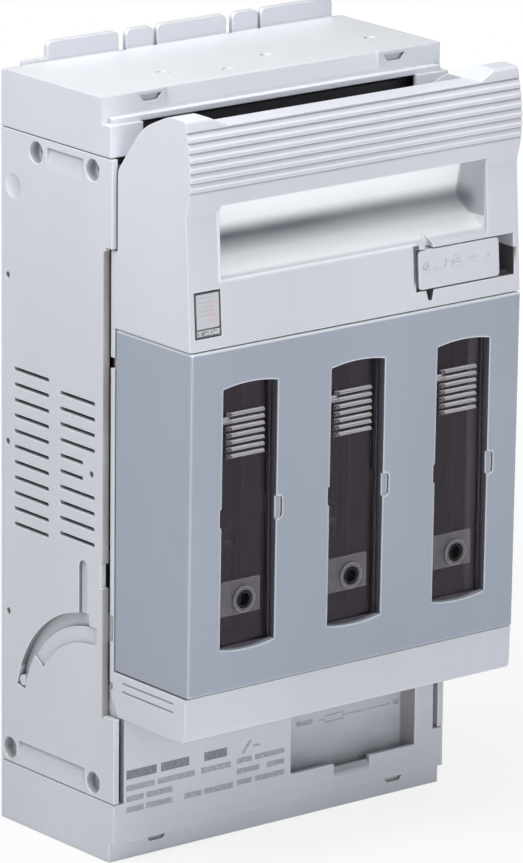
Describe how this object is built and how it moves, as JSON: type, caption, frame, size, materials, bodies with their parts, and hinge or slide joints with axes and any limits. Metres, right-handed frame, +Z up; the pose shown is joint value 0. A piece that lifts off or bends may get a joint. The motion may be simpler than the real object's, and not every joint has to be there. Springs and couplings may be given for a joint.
{
  "type": "fuse switch disconnector",
  "caption": "Three-pole fuse switch disconnector for blade fuse links: a flat base with terminal covers and a swing-out lid with a grip and sliding windows.",
  "frame": {"origin": "centre of the back face that lies on the mounting plate", "axes": "+X to the right seen from the front, +Y into the mounting plate, +Z up; the front looks along -Y"},
  "size_m": [0.106, 0.0754, 0.199],
  "materials": {
    "light_grey_plastic": "fine moulded satin",
    "blue_grey_plastic": "fine moulded satin",
    "black_plastic": "moulded, dull",
    "clear_plastic": "clear, polished",
    "silvered_copper": "silver-plated copper",
    "zinc_plated_steel": "bright zinc plate"
  },
  "bodies": {
    "base": {"base_housing": "light_grey_plastic", "upper_terminal_cover": "light_grey_plastic", "lower_terminal_cover": "light_grey_plastic", "inner_block": "black_plastic", "upper_contact_1": "silvered_copper", "upper_jaw_spring_1": "zinc_plated_steel", "upper_terminal_bolt_1": "zinc_plated_steel", "upper_terminal_nut_1": "zinc_plated_steel", "upper_contact_2": "silvered_copper", "upper_jaw_spring_2": "zinc_plated_steel", "upper_terminal_bolt_2": "zinc_plated_steel", "upper_terminal_nut_2": "zinc_plated_steel", "upper_contact_3": "silvered_copper", "upper_jaw_spring_3": "zinc_plated_steel", "upper_terminal_bolt_3": "zinc_plated_steel", "upper_terminal_nut_3": "zinc_plated_steel", "lower_contact_1": "silvered_copper", "lower_jaw_spring_1": "zinc_plated_steel", "lower_terminal_bolt_1": "zinc_plated_steel", "lower_terminal_nut_1": "zinc_plated_steel", "lower_contact_2": "silvered_copper", "lower_jaw_spring_2": "zinc_plated_steel", "lower_terminal_bolt_2": "zinc_plated_steel", "lower_terminal_nut_2": "zinc_plated_steel", "lower_contact_3": "silvered_copper", "lower_jaw_spring_3": "zinc_plated_steel", "lower_terminal_bolt_3": "zinc_plated_steel", "lower_terminal_nut_3": "zinc_plated_steel"},
    "lid": {"lid_frame": "light_grey_plastic", "lid_cover": "blue_grey_plastic", "fuse_carrier": "black_plastic", "marker_plate": "light_grey_plastic"},
    "pane_1": {"window_pane_1": "clear_plastic"},
    "pane_2": {"window_pane_2": "clear_plastic"},
    "pane_3": {"window_pane_3": "clear_plastic"},
    "lock": {"lock_slide": "light_grey_plastic"}
  },
  "joints": [
    {"name": "lid_swing", "type": "hinge", "parent": "base", "child": "lid", "pos_m": [0, -0.038, -0.067], "axis": [1, 0, 0], "range_deg": [0, 68]},
    {"name": "window_slide_1", "type": "slide", "parent": "lid", "child": "pane_1", "axis": [0, 0, -1], "range_m": [0, 0.006]},
    {"name": "window_slide_2", "type": "slide", "parent": "lid", "child": "pane_2", "axis": [0, 0, -1], "range_m": [0, 0.006]},
    {"name": "window_slide_3", "type": "slide", "parent": "lid", "child": "pane_3", "axis": [0, 0, -1], "range_m": [0, 0.006]},
    {"name": "lock_travel", "type": "slide", "parent": "lid", "child": "lock", "axis": [1, 0, 0], "range_m": [0, 0.0044]}
  ]
}
